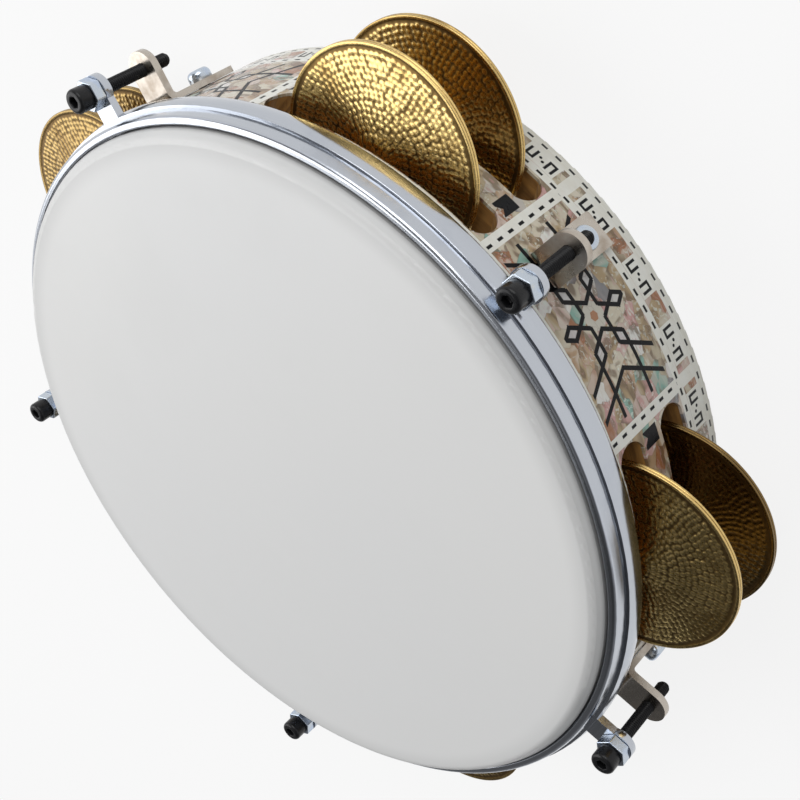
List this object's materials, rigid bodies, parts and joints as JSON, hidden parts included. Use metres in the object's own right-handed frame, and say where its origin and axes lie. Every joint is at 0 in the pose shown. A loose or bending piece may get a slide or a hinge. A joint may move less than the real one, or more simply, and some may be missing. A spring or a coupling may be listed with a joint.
{
  "type": "riq tambourine",
  "caption": "Round frame drum with a tensioned film head, an inlaid wooden shell, tuning bolts on brackets and pairs of hammered brass jingles in slots.",
  "frame": {"origin": "centre of the rear rim, on the plane that the drum stands on", "axes": "+Z along the drum's axis towards the head; +X through the middle of jingle set 1; +Y to the left of +X seen from the head"},
  "size_m": [0.2608, 0.2598, 0.0626],
  "materials": {
    "wood": "satin",
    "inlay": "gloss",
    "ivory": "gloss",
    "film": "matte",
    "hoop_metal": "satin",
    "zinc": "zinc plated",
    "black_steel": "black oxide",
    "nickel": "satin nickel",
    "steel": "bright",
    "brass": "hammered"
  },
  "bodies": {
    "frame": {"shell": "wood", "inlay_skin": "inlay", "rear_binding": "ivory", "drum_head": "film", "bracket_1": "nickel", "bracket_2": "nickel", "bracket_3": "nickel", "bracket_4": "nickel", "bracket_5": "nickel", "bracket_screws": "zinc", "bracket_washers": "zinc", "bracket_nuts": "zinc"},
    "hoop": {"flesh_hoop": "hoop_metal", "tension_hoop": "hoop_metal", "collar_nuts": "zinc"},
    "bolt_1": {"tension_bolt_1": "black_steel"},
    "pin_1": {"jingle_pin_1": "steel"},
    "jingle_1_rear_low": {"jingle_1_rear_low": "brass"},
    "jingle_1_rear_high": {"jingle_1_rear_high": "brass"},
    "jingle_1_front_low": {"jingle_1_front_low": "brass"},
    "jingle_1_front_high": {"jingle_1_front_high": "brass"},
    "bolt_2": {"tension_bolt_2": "black_steel"},
    "pin_2": {"jingle_pin_2": "steel"},
    "jingle_2_rear_low": {"jingle_2_rear_low": "brass"},
    "jingle_2_rear_high": {"jingle_2_rear_high": "brass"},
    "jingle_2_front_low": {"jingle_2_front_low": "brass"},
    "jingle_2_front_high": {"jingle_2_front_high": "brass"},
    "bolt_3": {"tension_bolt_3": "black_steel"},
    "pin_3": {"jingle_pin_3": "steel"},
    "jingle_3_rear_low": {"jingle_3_rear_low": "brass"},
    "jingle_3_rear_high": {"jingle_3_rear_high": "brass"},
    "jingle_3_front_low": {"jingle_3_front_low": "brass"},
    "jingle_3_front_high": {"jingle_3_front_high": "brass"},
    "bolt_4": {"tension_bolt_4": "black_steel"},
    "pin_4": {"jingle_pin_4": "steel"},
    "jingle_4_rear_low": {"jingle_4_rear_low": "brass"},
    "jingle_4_rear_high": {"jingle_4_rear_high": "brass"},
    "jingle_4_front_low": {"jingle_4_front_low": "brass"},
    "jingle_4_front_high": {"jingle_4_front_high": "brass"},
    "bolt_5": {"tension_bolt_5": "black_steel"},
    "pin_5": {"jingle_pin_5": "steel"},
    "jingle_5_rear_low": {"jingle_5_rear_low": "brass"},
    "jingle_5_rear_high": {"jingle_5_rear_high": "brass"},
    "jingle_5_front_low": {"jingle_5_front_low": "brass"},
    "jingle_5_front_high": {"jingle_5_front_high": "brass"}
  },
  "joints": [
    {"name": "hoop_travel", "type": "slide", "parent": "frame", "child": "hoop", "axis": [0, 0, 1], "range_m": [-0.001, 0.002]},
    {"name": "bolt_1_turn", "type": "hinge", "parent": "hoop", "child": "bolt_1", "pos_m": [0.08684, 0.08534, 0.05], "axis": [0, 0, 1], "range_deg": [-515, 1029]},
    {"name": "set_1_turn", "type": "hinge", "parent": "frame", "child": "pin_1", "pos_m": [0.105, 0, 0.02], "axis": [0, 0, 1], "continuous": true},
    {"name": "jingle_1_rear_low_slide", "type": "slide", "parent": "pin_1", "child": "jingle_1_rear_low", "axis": [0, 0, 1], "range_m": [0, 0.0013]},
    {"name": "jingle_1_rear_high_slide", "type": "slide", "parent": "jingle_1_rear_low", "child": "jingle_1_rear_high", "axis": [0, 0, 1], "range_m": [0, 0.0013]},
    {"name": "jingle_1_front_low_slide", "type": "slide", "parent": "pin_1", "child": "jingle_1_front_low", "axis": [0, 0, 1], "range_m": [0, 0.0013]},
    {"name": "jingle_1_front_high_slide", "type": "slide", "parent": "jingle_1_front_low", "child": "jingle_1_front_high", "axis": [0, 0, 1], "range_m": [0, 0.0013]},
    {"name": "bolt_2_turn", "type": "hinge", "parent": "hoop", "child": "bolt_2", "pos_m": [-0.05432, 0.10896, 0.05], "axis": [0, 0, 1], "range_deg": [-515, 1029]},
    {"name": "set_2_turn", "type": "hinge", "parent": "frame", "child": "pin_2", "pos_m": [0.03245, 0.09986, 0.02], "axis": [0, 0, 1], "continuous": true},
    {"name": "jingle_2_rear_low_slide", "type": "slide", "parent": "pin_2", "child": "jingle_2_rear_low", "axis": [0, 0, 1], "range_m": [0, 0.0013]},
    {"name": "jingle_2_rear_high_slide", "type": "slide", "parent": "jingle_2_rear_low", "child": "jingle_2_rear_high", "axis": [0, 0, 1], "range_m": [0, 0.0013]},
    {"name": "jingle_2_front_low_slide", "type": "slide", "parent": "pin_2", "child": "jingle_2_front_low", "axis": [0, 0, 1], "range_m": [0, 0.0013]},
    {"name": "jingle_2_front_high_slide", "type": "slide", "parent": "jingle_2_front_low", "child": "jingle_2_front_high", "axis": [0, 0, 1], "range_m": [0, 0.0013]},
    {"name": "bolt_3_turn", "type": "hinge", "parent": "hoop", "child": "bolt_3", "pos_m": [-0.12041, -0.018, 0.05], "axis": [0, 0, 1], "range_deg": [-515, 1029]},
    {"name": "set_3_turn", "type": "hinge", "parent": "frame", "child": "pin_3", "pos_m": [-0.08495, 0.06172, 0.02], "axis": [0, 0, 1], "continuous": true},
    {"name": "jingle_3_rear_low_slide", "type": "slide", "parent": "pin_3", "child": "jingle_3_rear_low", "axis": [0, 0, 1], "range_m": [0, 0.0013]},
    {"name": "jingle_3_rear_high_slide", "type": "slide", "parent": "jingle_3_rear_low", "child": "jingle_3_rear_high", "axis": [0, 0, 1], "range_m": [0, 0.0013]},
    {"name": "jingle_3_front_low_slide", "type": "slide", "parent": "pin_3", "child": "jingle_3_front_low", "axis": [0, 0, 1], "range_m": [0, 0.0013]},
    {"name": "jingle_3_front_high_slide", "type": "slide", "parent": "jingle_3_front_low", "child": "jingle_3_front_high", "axis": [0, 0, 1], "range_m": [0, 0.0013]},
    {"name": "bolt_4_turn", "type": "hinge", "parent": "hoop", "child": "bolt_4", "pos_m": [-0.02009, -0.12008, 0.05], "axis": [0, 0, 1], "range_deg": [-515, 1029]},
    {"name": "set_4_turn", "type": "hinge", "parent": "frame", "child": "pin_4", "pos_m": [-0.08495, -0.06172, 0.02], "axis": [0, 0, 1], "continuous": true},
    {"name": "jingle_4_rear_low_slide", "type": "slide", "parent": "pin_4", "child": "jingle_4_rear_low", "axis": [0, 0, 1], "range_m": [0, 0.0013]},
    {"name": "jingle_4_rear_high_slide", "type": "slide", "parent": "jingle_4_rear_low", "child": "jingle_4_rear_high", "axis": [0, 0, 1], "range_m": [0, 0.0013]},
    {"name": "jingle_4_front_low_slide", "type": "slide", "parent": "pin_4", "child": "jingle_4_front_low", "axis": [0, 0, 1], "range_m": [0, 0.0013]},
    {"name": "jingle_4_front_high_slide", "type": "slide", "parent": "jingle_4_front_low", "child": "jingle_4_front_high", "axis": [0, 0, 1], "range_m": [0, 0.0013]},
    {"name": "bolt_5_turn", "type": "hinge", "parent": "hoop", "child": "bolt_5", "pos_m": [0.10799, -0.05622, 0.05], "axis": [0, 0, 1], "range_deg": [-515, 1029]},
    {"name": "set_5_turn", "type": "hinge", "parent": "frame", "child": "pin_5", "pos_m": [0.03245, -0.09986, 0.02], "axis": [0, 0, 1], "continuous": true},
    {"name": "jingle_5_rear_low_slide", "type": "slide", "parent": "pin_5", "child": "jingle_5_rear_low", "axis": [0, 0, 1], "range_m": [0, 0.0013]},
    {"name": "jingle_5_rear_high_slide", "type": "slide", "parent": "jingle_5_rear_low", "child": "jingle_5_rear_high", "axis": [0, 0, 1], "range_m": [0, 0.0013]},
    {"name": "jingle_5_front_low_slide", "type": "slide", "parent": "pin_5", "child": "jingle_5_front_low", "axis": [0, 0, 1], "range_m": [0, 0.0013]},
    {"name": "jingle_5_front_high_slide", "type": "slide", "parent": "jingle_5_front_low", "child": "jingle_5_front_high", "axis": [0, 0, 1], "range_m": [0, 0.0013]}
  ],
  "couplings": [
    {"joint": "bolt_1_turn", "follows": "hoop_travel", "rad_per_m": 8976},
    {"joint": "bolt_2_turn", "follows": "hoop_travel", "rad_per_m": 8976},
    {"joint": "bolt_3_turn", "follows": "hoop_travel", "rad_per_m": 8976},
    {"joint": "bolt_4_turn", "follows": "hoop_travel", "rad_per_m": 8976},
    {"joint": "bolt_5_turn", "follows": "hoop_travel", "rad_per_m": 8976}
  ]
}
